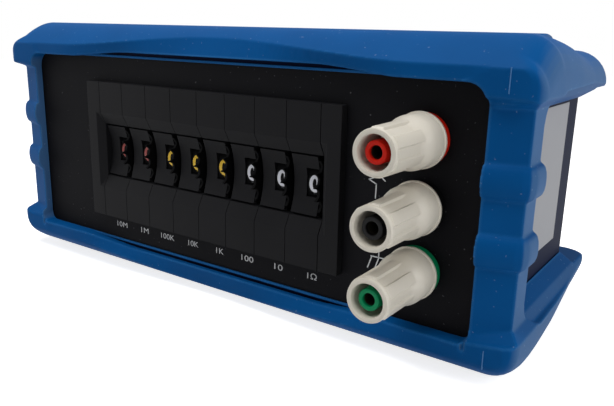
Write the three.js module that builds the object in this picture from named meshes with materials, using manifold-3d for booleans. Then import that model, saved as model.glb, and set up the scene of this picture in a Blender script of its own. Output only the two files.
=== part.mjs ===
// Decade resistance box: eight thumbwheel decades and three binding posts on a black panel,
// in a deep plastic case that sits in a rubber boot.
import * as THREE from 'three';
import { mergeVertices } from 'three/addons/utils/BufferGeometryUtils.js';
import Module from 'manifold-3d';

const wasm = await Module();
wasm.setup();

// All sizes are in millimetres. While the pieces are made, the panel's front face is the
// plane y = 0, y runs to the rear, x runs from the middle of the box to the right, and z
// runs up from its middle.
const runningGap = 0.3; // round a piece that turns or slides in another
const seatGap = 0.1; // under a piece that is clamped flat on another
const overrun = 6; // how far a cutting shape runs past the surface it opens

// Case: a deep moulded tub, open at the front, with rounded rear corners.
const caseHalfWidth = 100.5;
const caseHalfHeight = 38.7;
const caseDepth = 82;
const caseWall = 3.4;
const caseRim = 2.5; // the thinner wall left round the panel
const caseEdgeRadius = 3;
const caseRearRadius = 13;

// Screw posts in the case, drilled from the rear, and the screws that draw the panel in.
const screwSideMargin = 12.5;
const screwEndMargin = 11.7;
const screwPostRadius = 4.2;
const bossLength = 18; // the panel's bosses reach back to the screw posts
const screwHeadRadius = 2.8;
const screwHeadLength = 2.2;
const screwRadius = 1.5;
const screwReach = 12; // how far a screw goes into its boss
const screwShoulder = 4; // wall left under the head
const screwDriveRadius = 1.3;
const screwDriveDepth = 1.2;

// Front panel: a flat plate with four screw bosses behind it.
const panelThickness = 2.5;
const panelCornerRadius = 2;

// Switch bank: a row of equal modules between two end cheeks, left of the box's middle.
const decadeCount = 8;
const modulePitch = 12.7;
const moduleSeam = 0.2;
const cheekWidth = 7.2;
const cheekFlange = 2; // how far the bezel laps over the panel at each end
const bankShift = -5.4;
const bezelLap = 2.25; // how far the bezel laps over the panel, above and below
const bezelThickness = 3.1;
const recessHalfHeight = 14.6; // the long recess that the wheels stand in
const recessFloorHalfHeight = 10.2;
const recessDepth = 2.3;
const recessSideSlope = 2.3; // how far the recess's end slopes reach into the cheeks
const dishHalfHeight = 9.8; // the hollow face plate at the bottom of the recess
const dishEdgeDepth = 0.4;
const dishDepth = 1.9;
const moduleHalfHeight = 24;
const moduleDepth = 27.6;

// Thumbwheel: a numbered drum and a toothed disc in one moulding, on a stub axle.
const wheelTeeth = 20;
const wheelTipRadius = 14;
const wheelToothDepth = 2.1;
const wheelToothTip = 0.5;
const wheelProud = 2.6; // how far the top tooth stands in front of the panel
const drumRadius = 9.7;
const drumLeft = 5.2; // places across a module are counted from its left side
const drumRight = 10.1;
const discThickness = 1;
const wheelBoreRadius = 2.8;
const windowLeft = 5;
const windowTop = 5.3;
const windowBottom = 4;
const slotHalfHeight = 10;

// Tie rods that clamp the bank together.
const rodRadius = 1.5;
const rodY = 8;
const rodMargin = 3.5; // from the modules' top and bottom to the rods
const rodHeadRadius = 2.7;
const rodHeadLength = 1.8;
const rodTail = 3.2; // thread that stands out for the nut
const rodNutLength = 2.2;

// Decade boards on the back of the modules, each with its resistors.
const boardThickness = 1.6;
const boardDrop = 3; // how much lower a board ends than its module
const boardMargin = 0.6;
const resistorWidth = 2.6;
const resistorDepth = 2.4;
const resistorLength = 8;
const resistorRows = 3;
const resistorColumns = 3;
const resistorColumnPitch = 3.6;

// Binding posts, in a column at the right.
const postSideMargin = 22.7; // from the case's side to the posts' axes
const postPitch = 19.05;
const collarRadius = 7.4;
const collarThickness = 2.6;
const neckRadius = 4;
const sleeveRadius = 3.05;
const sleeveLipRadius = 2.05;
const sleeveLipLength = 0.9;
const sleeveRecess = 1; // how deep the sleeve's end lies inside the cap's mouth
const socketRadius = 2.55;
const socketBoreRadius = 2;
const socketBoreDepth = 20;
const studLength = 15; // threaded tail behind the panel
const bushRadius = 6;
const bushThickness = 2.5;
const nutRadius = 4.6;
const nutLength = 3;

// The turning cap: a ribbed barrel that flares into a skirt.
const capFront = 28.7;
const capRimRadius = 6.05;
const capMouthRadius = 4.4;
const capMouthDepth = 4;
const capBarrelRadius = 5.75;
const capBarrelEnd = 15.6;
const capFlareEnd = 8.6;
const capSkirtRadius = 7.85;
const capSkirtBead = 1.6;
const capSkirtGroove = 0.2;
const capEdgeRadius = 0.5;
const capRibs = 6;
const capRibHalfWidth = 1.7;
const capRibRadius = 6.35;
const capRibStart = 27.2;
const capRecessRadius = 6.3;
const capRecessDepth = 2.2;
const washerRadius = 6;
const washerThickness = 1.1;

// Leads from the first and the last decade board to the two upper posts.
const leadRadius = 0.8;
const leadReach = 6; // straight run out of a stud's end
const leadDrop = 9; // how far behind the boards the leads run
const tagHeight = 2; // soldering place below a board's edge

// Boot: a thick rubber sleeve with a heavy front frame and a lighter rear rim. Its walls
// are counted from the case's sides.
const bootFront = 5.6; // the front bars stand this far before the panel
const rearWall = 4.5;
const frameSideWall = 9.4;
const plateSideWall = 7.1;
const rearSideWall = 5.8;
const crestWall = 8.9;
const plateWall = 3.5;
const barFaceRise = 0.7; // the flat front of the bars ends this far above the case
const frameCornerRadius = 3.5; // front corners, seen from above
const faceCornerRadius = 2.5; // corners of the flat front, seen from the front
const crestCornerRadius = 11;
const plateCornerRadius = 12;
const crestStart = 9;
const crestEnd = 12;
const crestFoot = 42; // where the front frame has sloped down to the plates
const crestBulge = 1.5; // how full the frame's slope is: 1 is a straight slope, 2 an ellipse
const bootRearRadius = 8;
const ridgeSideMargin = 12.5;
const ridgeFoot = 30.5; // the rear ridge's places are counted from the boot's rear
const ridgeStart = 16.5;
const ridgeEnd = 11.5;
const ridgeCornerRadius = 5.2;
const lipWidth = 4.5; // how far the frame laps over the case, at its sides
const lipHeight = 3.3;
const openingRadius = 7;
const pillarFront = 3.3; // the pillars' inner edges stand this far before the panel
const pillarFall = 3; // and their fronts fall back by this much to the sides
const pillarRear = 8.3;
const pillarInset = 2.9;
const pillarEdge = 1.2;
const pillarDrop = 5.8; // from the opening's edge to the end of a pillar's flat front
const barDrop = 3; // and to the start of the bar's
const windowDrop = 11.6; // a side window's edges, counted down from the case's edge
const windowSillDrop = 8.6;
const windowEdgeDrop = 5.9;
const windowSillReach = 5;
const windowCornerRadius = 7;
const rearOpeningDrop = 8.2;

// Grip ribs: two low swellings round each pillar.
const gripHeights = [10.5, -8.3];
const gripHalfHeight = 4.4;
const gripProud = 1.6;
const gripRound = 3;

// Finger scoop: the wave in the middle of each bar that lays the case's rim open.
const scoopHalfSpan = 78;
const scoopFootHalfSpan = 68;
const scoopFlatHalfSpan = 42;
const scoopTopRise = 5; // the wave's height over the case's edge
const scoopTopProud = 3.65;
const scoopStretchShare = 1.6;

// Faces per curve: half of those of a drawn arc, of the boot's bends, and of round pieces.
const arcSteps = 2;
const bendSteps = 5;
const capSteps = 18;
const roundSteps = 20;
const rodSteps = 8;
const hexSides = 6;
const leadSteps = 14;
const scoopSteps = 20;

// Places worked out from the sizes above.
const screwX = caseHalfWidth - screwSideMargin;
const screwZ = caseHalfHeight - screwEndMargin;
const postX = caseHalfWidth - postSideMargin;
const bootRear = caseDepth + rearWall;
const bootHalfWidth = caseHalfWidth + frameSideWall;
const bootSideHalfWidth = caseHalfWidth + plateSideWall;
const bootRearHalfWidth = caseHalfWidth + rearSideWall;
const bootCrestHalfHeight = caseHalfHeight + crestWall;
const bootPlateHalfHeight = caseHalfHeight + plateWall;
const bootFaceHalfHeight = caseHalfHeight + barFaceRise;
const openingHalfWidth = caseHalfWidth - lipWidth;
const openingHalfHeight = caseHalfHeight - lipHeight;
const pillarHalfHeight = openingHalfHeight - pillarDrop;
const barHalfHeight = openingHalfHeight - barDrop;
const windowHalfHeight = caseHalfHeight - windowDrop;
const windowSillHalfHeight = caseHalfHeight - windowSillDrop;
const windowEdgeHalfHeight = caseHalfHeight - windowEdgeDrop;
const rearOpeningHalfHeight = caseHalfHeight - rearOpeningDrop;
const scoopTopHalfHeight = caseHalfHeight + scoopTopRise;
const ridgeHalfWidth = caseHalfWidth - ridgeSideMargin;
const bankHalfWidth = (decadeCount * modulePitch) / 2;
const cheekBodyWidth = cheekWidth - cheekFlange;
const wheelY = wheelTipRadius - wheelProud;
const discRight = drumRight + discThickness;
const bezelHalfHeight = moduleHalfHeight + bezelLap;
const boardHalfHeight = moduleHalfHeight - boardDrop;
const resistorRowPitch = boardHalfHeight - 2 * tagHeight - resistorLength / 2;
const rodZ = moduleHalfHeight - rodMargin;
const boardFront = moduleDepth + seatGap;
const boardBack = boardFront + boardThickness;
const rearInside = caseDepth - caseWall;
const screwPostFront = panelThickness + bossLength + seatGap;
const screwSeat = screwPostFront + screwShoulder;
const capRear = collarThickness + seatGap + runningGap;
const sleeveFront = capFront - sleeveRecess;

// Turns a drawn or revolved geometry into a closed solid that can be joined and cut.
function solid(geometry) {
  const bare = geometry.clone();
  bare.deleteAttribute('normal');
  bare.deleteAttribute('uv');
  const merged = mergeVertices(bare);
  const place = merged.getAttribute('position').array;
  const corners = merged.getIndex().array;
  const triangles = [];
  let volume = 0;
  for (let i = 0; i < corners.length; i += 3) {
    const [a, b, c] = [corners[i], corners[i + 1], corners[i + 2]];
    if (a === b || b === c || c === a) continue;
    triangles.push(a, b, c);
    const p = new THREE.Vector3().fromArray(place, a * 3);
    const q = new THREE.Vector3().fromArray(place, b * 3);
    const r = new THREE.Vector3().fromArray(place, c * 3);
    volume += p.dot(q.cross(r));
  }
  if (volume < 0) triangles.reverse();
  const mesh = new wasm.Mesh({
    numProp: 3,
    vertProperties: new Float32Array(place),
    triVerts: new Uint32Array(triangles),
  });
  return new wasm.Manifold(mesh);
}

function geometryOf(body) {
  const mesh = body.getMesh();
  const geometry = new THREE.BufferGeometry();
  geometry.setAttribute('position', new THREE.BufferAttribute(mesh.vertProperties, mesh.numProp));
  geometry.setIndex(new THREE.BufferAttribute(mesh.triVerts, 1));
  geometry.computeVertexNormals();
  return geometry;
}

// Extrusions along the three axes. The shape is drawn in (y, z), (x, z) or (x, y).
function alongX(shape, from, to, steps = arcSteps) {
  const turn = new THREE.Matrix4().makeBasis(
    new THREE.Vector3(0, 1, 0), new THREE.Vector3(0, 0, 1), new THREE.Vector3(1, 0, 0));
  const options = { depth: to - from, bevelEnabled: false, curveSegments: steps };
  return solid(new THREE.ExtrudeGeometry(shape, options).applyMatrix4(turn).translate(from, 0, 0));
}

function alongY(shape, from, to, steps = arcSteps) {
  const turn = new THREE.Matrix4().makeBasis(
    new THREE.Vector3(1, 0, 0), new THREE.Vector3(0, 0, 1), new THREE.Vector3(0, -1, 0));
  const options = { depth: to - from, bevelEnabled: false, curveSegments: steps };
  return solid(new THREE.ExtrudeGeometry(shape, options).applyMatrix4(turn).translate(0, to, 0));
}

function alongZ(shape, from, to, steps = arcSteps) {
  const options = { depth: to - from, bevelEnabled: false, curveSegments: steps };
  return solid(new THREE.ExtrudeGeometry(shape, options).translate(0, 0, from));
}

// A body of revolution. The profile's points are (radius, place along the axis).
function turned(points, steps = roundSteps) {
  const profile = points.map(([radius, place]) => new THREE.Vector2(radius, place));
  return new THREE.LatheGeometry(profile, steps);
}

function turnedAboutY(points, steps = roundSteps) {
  return solid(turned(points, steps));
}

function turnedAboutX(points, steps = roundSteps) {
  const turn = new THREE.Matrix4().makeBasis(
    new THREE.Vector3(0, 0, 1), new THREE.Vector3(1, 0, 0), new THREE.Vector3(0, 1, 0));
  return solid(turned(points, steps).applyMatrix4(turn));
}

function rodProfile(radius, from, to) {
  return [[0, from], [radius, from], [radius, to], [0, to]];
}

function ringProfile(inner, outer, from, to) {
  return [[inner, from], [outer, from], [outer, to], [inner, to], [inner, from]];
}

function rectangle(left, bottom, right, top) {
  const shape = new THREE.Shape();
  shape.moveTo(left, bottom);
  shape.lineTo(right, bottom);
  shape.lineTo(right, top);
  shape.lineTo(left, top);
  shape.closePath();
  return shape;
}

function outline(points) {
  const shape = new THREE.Shape();
  shape.setFromPoints(points.map(([u, v]) => new THREE.Vector2(u, v)));
  return shape;
}

function roundedRectangle(left, bottom, right, top, radius) {
  const shape = new THREE.Shape();
  shape.absarc(right - radius, top - radius, radius, 0, Math.PI / 2);
  shape.absarc(left + radius, top - radius, radius, Math.PI / 2, Math.PI);
  shape.absarc(left + radius, bottom + radius, radius, Math.PI, Math.PI * 1.5);
  shape.absarc(right - radius, bottom + radius, radius, Math.PI * 1.5, Math.PI * 2);
  shape.closePath();
  return shape;
}

function polygon(sides, radius) {
  const points = [];
  for (let i = 0; i < sides; i += 1) {
    const angle = (Math.PI * 2 * i) / sides;
    points.push([radius * Math.cos(angle), radius * Math.sin(angle)]);
  }
  return outline(points);
}

// Plan outline, rounded at the rear corners only.
function roundedRearPlan(halfWidth, front, rear, radius) {
  const shape = new THREE.Shape();
  shape.moveTo(-halfWidth, front);
  shape.lineTo(halfWidth, front);
  shape.absarc(halfWidth - radius, rear - radius, radius, 0, Math.PI / 2);
  shape.absarc(-halfWidth + radius, rear - radius, radius, Math.PI / 2, Math.PI);
  shape.closePath();
  return shape;
}

// A skin through rings of equally many points, closed by a flat cap at each end.
function loft(rings, flatCap) {
  const places = rings.flat(2);
  const count = rings[0].length;
  const triangles = [];
  for (let k = 0; k + 1 < rings.length; k += 1) {
    for (let i = 0; i < count; i += 1) {
      const a = k * count + i;
      const b = k * count + ((i + 1) % count);
      triangles.push(a, b, b + count, a, b + count, a + count);
    }
  }
  const last = (rings.length - 1) * count;
  const cap = THREE.ShapeUtils.triangulateShape(rings[0].map(flatCap), []);
  for (const [a, b, c] of cap) triangles.push(c, b, a);
  const endCap = THREE.ShapeUtils.triangulateShape(rings[rings.length - 1].map(flatCap), []);
  for (const [a, b, c] of endCap) triangles.push(last + a, last + b, last + c);
  const geometry = new THREE.BufferGeometry();
  geometry.setAttribute('position', new THREE.Float32BufferAttribute(places, 3));
  geometry.setIndex(triangles);
  return solid(geometry);
}

// A slow start and a slow end between 0 and 1.
function ease(share) {
  const t = Math.min(Math.max(share, 0), 1);
  return t * t * (3 - 2 * t);
}

function mix(from, to, share) {
  return from + (to - from) * share;
}

// Materials, one for each finish.
function finish(color, roughness, metalness = 0) {
  return new THREE.MeshStandardMaterial({ color, roughness, metalness });
}
const bootRubber = finish(0x134a80, 0.55);
const casePlastic = finish(0x12305e, 0.45);
const panelPlastic = finish(0x141416, 0.55);
const switchPlastic = finish(0x101012, 0.5);
const wheelPlastic = finish(0x0b0b0c, 0.35);
const steel = finish(0xb9bcc0, 0.35, 1);
const brass = finish(0xc9a45a, 0.35, 1);
const boardLaminate = finish(0x1f5c3a, 0.5);
const capPlastic = finish(0xdad6cb, 0.35);
const bushPlastic = finish(0x1b1b1d, 0.5);
const postColours = [
  { name: 'red', plastic: finish(0xc41f22, 0.35) },
  { name: 'black', plastic: finish(0x17171a, 0.35) },
  { name: 'green', plastic: finish(0x0e8a57, 0.35) },
];

const box = new THREE.Group();

function place(group, name, body, material, x = 0, y = 0, z = 0) {
  const mesh = new THREE.Mesh(geometryOf(body), material.clone());
  mesh.name = name;
  mesh.position.set(x, y, z);
  group.add(mesh);
  return mesh;
}

// Corners where the case's posts and the panel's bosses meet.
const screwPlaces = [[-screwX, screwZ], [screwX, screwZ], [-screwX, -screwZ], [screwX, -screwZ]];

// Case: the tub's outside, less its inside, plus the four drilled screw posts.
function caseShell() {
  const face = roundedRectangle(
    -caseHalfWidth, -caseHalfHeight, caseHalfWidth, caseHalfHeight, caseEdgeRadius);
  const plan = roundedRearPlan(caseHalfWidth, -overrun, caseDepth, caseRearRadius);
  const outside = alongY(face, 0, caseDepth)
    .intersect(alongZ(plan, -caseHalfHeight - overrun, caseHalfHeight + overrun));
  const innerFace = rectangle(
    -caseHalfWidth + caseWall, -caseHalfHeight + caseWall,
    caseHalfWidth - caseWall, caseHalfHeight - caseWall);
  const innerPlan = roundedRearPlan(
    caseHalfWidth - caseWall, -overrun, rearInside, caseRearRadius - caseWall);
  const inside = alongY(innerFace, -overrun, rearInside)
    .intersect(alongZ(innerPlan, -caseHalfHeight, caseHalfHeight));
  const panelSeat = roundedRectangle(
    -caseHalfWidth + caseRim, -caseHalfHeight + caseRim,
    caseHalfWidth - caseRim, caseHalfHeight - caseRim, panelCornerRadius);
  let body = outside.subtract(inside)
    .subtract(alongY(panelSeat, -overrun, panelThickness + seatGap));
  for (const [x, z] of screwPlaces) {
    const post = turnedAboutY(rodProfile(screwPostRadius, screwPostFront, rearInside + caseWall / 2), rodSteps);
    const headHole = rodProfile(screwHeadRadius + runningGap, screwSeat, caseDepth + overrun);
    const shankHole = rodProfile(screwRadius + runningGap, screwPostFront - overrun, caseDepth);
    body = body.add(post.translate([x, 0, z]))
      .subtract(turnedAboutY(headHole, rodSteps).translate([x, 0, z]))
      .subtract(turnedAboutY(shankHole, rodSteps).translate([x, 0, z]));
  }
  return body;
}

// Panel: a plate cut out for the bank and the post necks, with bosses for the four screws.
function frontPanel() {
  const halfWidth = caseHalfWidth - caseRim - runningGap;
  const halfHeight = caseHalfHeight - caseRim - runningGap;
  const plate = roundedRectangle(-halfWidth, -halfHeight, halfWidth, halfHeight, panelCornerRadius);
  const bankHalf = bankHalfWidth + cheekBodyWidth + runningGap;
  const bankHole = rectangle(
    bankShift - bankHalf, -moduleHalfHeight - runningGap,
    bankShift + bankHalf, moduleHalfHeight + runningGap);
  let body = alongY(plate, 0, panelThickness).subtract(alongY(bankHole, -overrun, overrun));
  for (const z of [postPitch, 0, -postPitch]) {
    const hole = turnedAboutY(rodProfile(neckRadius + runningGap, -overrun, overrun), capSteps);
    body = body.subtract(hole.translate([postX, 0, z]));
  }
  for (const [x, z] of screwPlaces) {
    const bossEnd = panelThickness + bossLength;
    const boss = turnedAboutY(rodProfile(screwPostRadius, panelThickness / 2, bossEnd), rodSteps);
    const bore = rodProfile(screwRadius + seatGap, panelThickness, bossEnd + overrun);
    body = body.add(boss.translate([x, 0, z]))
      .subtract(turnedAboutY(bore, rodSteps).translate([x, 0, z]));
  }
  return body;
}

function panelScrew() {
  const tip = screwPostFront - screwReach;
  const profile = [
    [0, tip], [screwRadius, tip], [screwRadius, screwSeat + seatGap],
    [screwHeadRadius, screwSeat + seatGap], [screwHeadRadius, screwSeat + screwHeadLength],
    [0, screwSeat + screwHeadLength],
  ];
  const drive = rodProfile(
    screwDriveRadius, screwSeat + screwHeadLength - screwDriveDepth, screwSeat + overrun);
  return turnedAboutY(profile, rodSteps).subtract(turnedAboutY(drive, hexSides));
}

// Side view of a module: bezel, sloped recess, dished face plate and the body behind it.
function modulePoints() {
  const face = -bezelThickness;
  const floor = face + recessDepth;
  const edge = floor + dishEdgeDepth;
  const radius = (dishHalfHeight ** 2 + dishDepth ** 2) / (2 * dishDepth);
  const shape = new THREE.Shape();
  const half = Math.asin(dishHalfHeight / radius);
  shape.moveTo(face, bezelHalfHeight);
  shape.lineTo(face, recessHalfHeight);
  shape.lineTo(floor, recessFloorHalfHeight);
  shape.lineTo(edge, dishHalfHeight);
  shape.absarc(edge + dishDepth - radius, 0, radius, half, -half, true);
  shape.lineTo(floor, -recessFloorHalfHeight);
  shape.lineTo(face, -recessHalfHeight);
  shape.lineTo(face, -bezelHalfHeight);
  shape.lineTo(-seatGap, -bezelHalfHeight);
  shape.lineTo(-seatGap, -moduleHalfHeight);
  shape.lineTo(moduleDepth, -moduleHalfHeight);
  shape.lineTo(moduleDepth, moduleHalfHeight);
  shape.lineTo(-seatGap, moduleHalfHeight);
  shape.lineTo(-seatGap, bezelHalfHeight);
  shape.closePath();
  return shape;
}

function rodHoles(from, to) {
  const hole = turnedAboutX(rodProfile(rodRadius + runningGap, from, to), rodSteps);
  return hole.translate([0, rodY, rodZ]).add(hole.translate([0, rodY, -rodZ]));
}

// Switch module: its places across are counted from its left side.
function switchHousing() {
  const width = modulePitch - moduleSeam;
  const drumRoom = turnedAboutX(
    rodProfile(drumRadius + runningGap, drumLeft - runningGap, drumRight + runningGap / 2));
  const discRoom = turnedAboutX(
    rodProfile(wheelTipRadius + runningGap, drumRight - runningGap / 2, discRight + runningGap));
  const room = drumRoom.add(discRoom).translate([0, wheelY, 0]);
  const sight = alongX(
    rectangle(-overrun, -windowBottom, wheelY / 2, windowTop), windowLeft, drumRight);
  const slot = alongX(
    rectangle(-overrun, -slotHalfHeight, wheelY / 2, slotHalfHeight), drumRight, discRight + runningGap);
  const axle = turnedAboutX(rodProfile(
    wheelBoreRadius - runningGap, drumLeft - runningGap * 2, discRight), rodSteps).translate([0, wheelY, 0]);
  return alongX(modulePoints(), 0, width)
    .subtract(room)
    .subtract(sight)
    .subtract(slot)
    .add(axle)
    .subtract(rodHoles(-overrun, modulePitch + overrun));
}

// Thumbwheel about its own axis: teeth point out at equal angles, one straight forward.
function thumbwheel() {
  const points = [];
  const step = (Math.PI * 2) / wheelTeeth;
  const tipAngle = wheelToothTip / wheelTipRadius / 2;
  const valley = wheelTipRadius - wheelToothDepth;
  for (let i = 0; i < wheelTeeth; i += 1) {
    const angle = Math.PI + i * step;
    for (const [turn, radius] of [[-tipAngle, wheelTipRadius], [tipAngle, wheelTipRadius], [step / 2, valley]]) {
      points.push([radius * Math.cos(angle + turn), radius * Math.sin(angle + turn)]);
    }
  }
  const disc = alongX(outline(points), drumRight, discRight);
  const drum = turnedAboutX(rodProfile(drumRadius, drumLeft, drumRight + discThickness / 2), roundSteps);
  const bore = turnedAboutX(rodProfile(wheelBoreRadius, -overrun, modulePitch + overrun), rodSteps);
  return disc.add(drum).subtract(bore);
}

// End cheek, drawn for the right end: bezel with the recess's end slope, body, snap hook.
function endCheek() {
  const front = -bezelThickness;
  const bezel = alongX(rectangle(front, -bezelHalfHeight, -seatGap, bezelHalfHeight), 0, cheekWidth);
  const body = alongX(
    rectangle(-bezelThickness / 2, -moduleHalfHeight, moduleDepth, moduleHalfHeight), 0, cheekBodyWidth);
  const hookRoot = panelThickness + runningGap;
  const hook = outline([
    [cheekBodyWidth / 2, hookRoot], [cheekWidth - seatGap, hookRoot],
    [cheekBodyWidth, moduleDepth / 2], [cheekBodyWidth / 2, moduleDepth / 2],
  ]);
  const slope = (depth, reach, halfHeight) => [
    [-overrun, depth, -halfHeight], [reach, depth, -halfHeight],
    [reach, depth, halfHeight], [-overrun, depth, halfHeight],
  ];
  const steep = (recessHalfHeight - recessFloorHalfHeight) / recessDepth;
  const endSlope = loft([
    slope(front + recessDepth, 0, recessFloorHalfHeight),
    slope(front - recessDepth, 2 * recessSideSlope, recessFloorHalfHeight + 2 * steep * recessDepth),
  ], ([x, , z]) => new THREE.Vector2(x, z));
  return bezel.add(body)
    .add(alongZ(hook, -moduleHalfHeight / 2, moduleHalfHeight / 2))
    .subtract(endSlope)
    .subtract(rodHoles(-overrun, cheekWidth + overrun));
}

const rodSpan = bankHalfWidth + cheekBodyWidth;

function tieRod() {
  const head = rodSpan + seatGap;
  return turnedAboutX([
    [0, -rodSpan - rodTail], [rodRadius, -rodSpan - rodTail], [rodRadius, head],
    [rodHeadRadius, head], [rodHeadRadius, head + rodHeadLength], [0, head + rodHeadLength],
  ], rodSteps);
}

function tieRodNut() {
  const nut = alongX(polygon(hexSides, rodHeadRadius), 0, rodNutLength);
  return nut.subtract(turnedAboutX(rodProfile(rodRadius + seatGap, -overrun, overrun), rodSteps));
}

// Decade board: a laminate with rows of upright resistors soldered to its rear side.
function decadeBoard() {
  const width = modulePitch - moduleSeam - 2 * boardMargin;
  let body = alongX(
    rectangle(boardFront, -boardHalfHeight, boardBack, boardHalfHeight), boardMargin, boardMargin + width);
  for (let row = 0; row < resistorRows; row += 1) {
    for (let column = 0; column < resistorColumns; column += 1) {
      const x = boardMargin + width / 2 + (column - (resistorColumns - 1) / 2) * resistorColumnPitch;
      const z = (row - (resistorRows - 1) / 2) * resistorRowPitch - resistorLength / 2;
      const block = rectangle(
        x - resistorWidth / 2, boardBack - seatGap, x + resistorWidth / 2, boardBack + resistorDepth);
      body = body.add(alongZ(block, z, z + resistorLength));
    }
  }
  return body;
}

// Coloured post body: a collar on the panel, a neck through it and the sleeve in the cap.
function postBody() {
  return turnedAboutY([
    [socketRadius + seatGap, panelThickness], [neckRadius, panelThickness],
    [neckRadius, -seatGap], [collarRadius, -seatGap],
    [collarRadius, -collarThickness], [sleeveRadius, -collarThickness],
    [sleeveRadius, -sleeveFront], [sleeveLipRadius, -sleeveFront],
    [sleeveLipRadius, -sleeveFront + sleeveLipLength],
    [socketRadius + seatGap, -sleeveFront + sleeveLipLength],
    [socketRadius + seatGap, panelThickness],
  ], capSteps);
}

// Socket: a bored brass stud whose threaded tail holds the post from behind.
function postSocket() {
  const front = -sleeveFront + sleeveLipLength + seatGap;
  return turnedAboutY([
    [0, front + socketBoreDepth], [socketBoreRadius, front + socketBoreDepth],
    [socketBoreRadius, front], [socketRadius, front],
    [socketRadius, panelThickness + studLength], [0, panelThickness + studLength],
  ], capSteps);
}

function postBush() {
  const from = panelThickness + seatGap;
  return turnedAboutY(
    ringProfile(socketRadius + runningGap, bushRadius, from, from + bushThickness), capSteps);
}

function postNut() {
  const from = panelThickness + 2 * seatGap + bushThickness;
  const nut = alongY(polygon(hexSides, nutRadius), from, from + nutLength);
  return nut.subtract(turnedAboutY(
    rodProfile(socketRadius + seatGap, from - overrun, from + overrun), capSteps));
}

function thrustWasher() {
  const rear = -capRear - seatGap;
  return turnedAboutY(
    ringProfile(sleeveRadius + runningGap, washerRadius, rear - washerThickness, rear), capSteps);
}

// Cap: revolved about the post's axis, its flare a quarter of an ellipse, with flat ribs.
function postCap() {
  const profile = [];
  const bore = sleeveRadius + runningGap;
  const recessFloor = -capRear - capRecessDepth;
  profile.push([bore, recessFloor], [bore, -capFront + capMouthDepth]);
  profile.push([capMouthRadius, -capFront + capMouthDepth], [capMouthRadius, -capFront]);
  profile.push([capRimRadius - capEdgeRadius, -capFront], [capRimRadius, -capFront + capEdgeRadius]);
  profile.push([capRimRadius, -capRibStart]);
  for (let i = 0; i <= bendSteps; i += 1) {
    const angle = (Math.PI / 2) * (i / bendSteps);
    profile.push([
      capSkirtRadius - (capSkirtRadius - capBarrelRadius) * Math.cos(angle),
      mix(-capBarrelEnd, -capFlareEnd, Math.sin(angle)),
    ]);
  }
  profile.push([capSkirtRadius - capSkirtGroove, -capRear - capSkirtBead]);
  profile.push([capSkirtRadius, -capRear - capSkirtBead + capSkirtGroove]);
  profile.push([capSkirtRadius, -capRear - capSkirtGroove], [capSkirtRadius - capSkirtGroove, -capRear]);
  profile.push([capRecessRadius, -capRear], [capRecessRadius, recessFloor], [bore, recessFloor]);
  let body = turnedAboutY(profile, capSteps);
  for (let i = 0; i < capRibs; i += 1) {
    const rib = alongY(rectangle(
      -capRibHalfWidth, capBarrelRadius - capEdgeRadius, capRibHalfWidth, capRibRadius),
      -capRibStart, -capFlareEnd - capEdgeRadius);
    body = body.add(rib.rotate([0, (360 * i) / capRibs, 0]));
  }
  return body;
}

// One round of the boot: a rectangle with rounded corners at the place y.
function bootRing(y, halfWidth, halfHeight, radius) {
  const ring = [];
  const centres = [[1, 1], [-1, 1], [-1, -1], [1, -1]];
  for (const [corner, [right, up]] of centres.entries()) {
    for (let i = 0; i <= bendSteps; i += 1) {
      const angle = (Math.PI / 2) * (corner + i / bendSteps);
      ring.push([
        right * (halfWidth - radius) + radius * Math.cos(angle),
        y,
        up * (halfHeight - radius) + radius * Math.sin(angle),
      ]);
    }
  }
  return ring;
}

// Boot outside: sloping front frame, crest, slope down to the plates, rounded rear edge.
function bootOutside() {
  const rings = [];
  const frameSteps = bendSteps + 2;
  for (let i = 0; i <= frameSteps; i += 1) {
    const back = 1 - Math.cos((Math.PI / 2) * (i / frameSteps));
    const y = mix(-bootFront, crestStart, back);
    const rise = (1 - (1 - back) ** crestBulge) ** (1 / crestBulge);
    const turn = Math.min((y + bootFront) / frameCornerRadius, 1);
    const inward = frameCornerRadius * (1 - Math.sqrt(1 - (1 - turn) ** 2));
    const radius = mix(faceCornerRadius, crestCornerRadius, Math.sqrt(rise));
    const halfHeight = mix(bootFaceHalfHeight, bootCrestHalfHeight, rise);
    rings.push(bootRing(y, bootHalfWidth - inward, halfHeight, radius));
  }
  for (let i = 0; i <= bendSteps + 1; i += 1) {
    const share = i / (bendSteps + 1);
    const slope = ease(share);
    rings.push(bootRing(
      mix(crestEnd, crestFoot, share),
      mix(bootHalfWidth, bootSideHalfWidth, slope),
      mix(bootCrestHalfHeight, bootPlateHalfHeight, slope),
      mix(crestCornerRadius, plateCornerRadius, slope)));
  }
  for (let i = 0; i <= bendSteps; i += 1) {
    const angle = (Math.PI / 2) * (i / bendSteps);
    const inward = bootRearRadius * (1 - Math.cos(angle));
    rings.push(bootRing(
      bootRear - bootRearRadius + bootRearRadius * Math.sin(angle),
      bootRearHalfWidth - inward,
      bootPlateHalfHeight - inward,
      plateCornerRadius - inward / 2));
  }
  return loft(rings, ([x, , z]) => new THREE.Vector2(x, z));
}

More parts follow.
